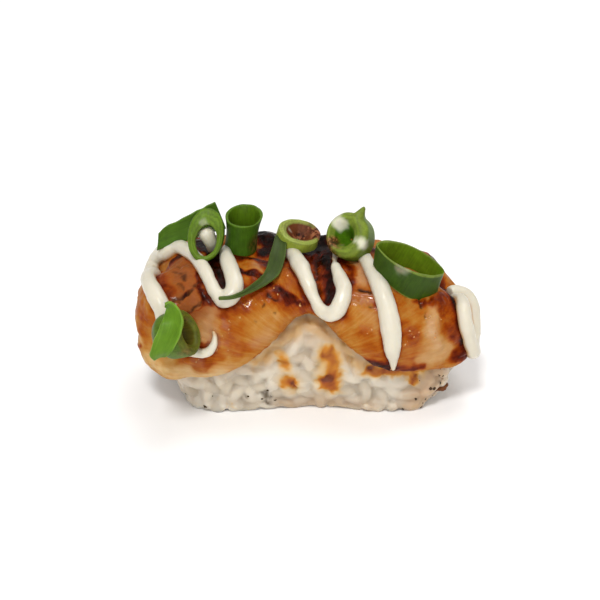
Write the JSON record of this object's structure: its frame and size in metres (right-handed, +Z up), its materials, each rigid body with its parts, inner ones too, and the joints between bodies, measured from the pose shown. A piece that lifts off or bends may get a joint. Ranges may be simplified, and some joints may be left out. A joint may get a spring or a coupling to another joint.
{
  "type": "scallop nigiri",
  "caption": "Grilled scallop nigiri: a butterflied, sauced scallop draped over pressed rice, with a zigzag of mayonnaise and sliced green onion.",
  "frame": {"origin": "centre of the rice's flat underside", "axes": "+X along the nigiri to its right end, -Y to its front, +Z up"},
  "size_m": [0.0662, 0.0393, 0.0375],
  "materials": {
    "rice": "moist cooked rice, off-white, stained orange-brown by sauce in places",
    "scallop": "grilled scallop, seared brown to amber under a glossy soy glaze",
    "mayonnaise": "smooth cream mayonnaise",
    "onion": "fresh green onion stalk, darker outside, pale at the cut"
  },
  "bodies": {
    "root": {"rice_bed": "rice", "scallop_slice": "scallop", "mayonnaise_zigzag": "mayonnaise", "mayonnaise_end": "mayonnaise", "onion_ring_left": "onion", "onion_tube": "onion", "onion_ring_centre": "onion", "onion_ring_right": "onion", "onion_ring_large": "onion", "onion_curl_front": "onion", "onion_leaf_left": "onion", "onion_blade": "onion"}
  },
  "joints": []
}
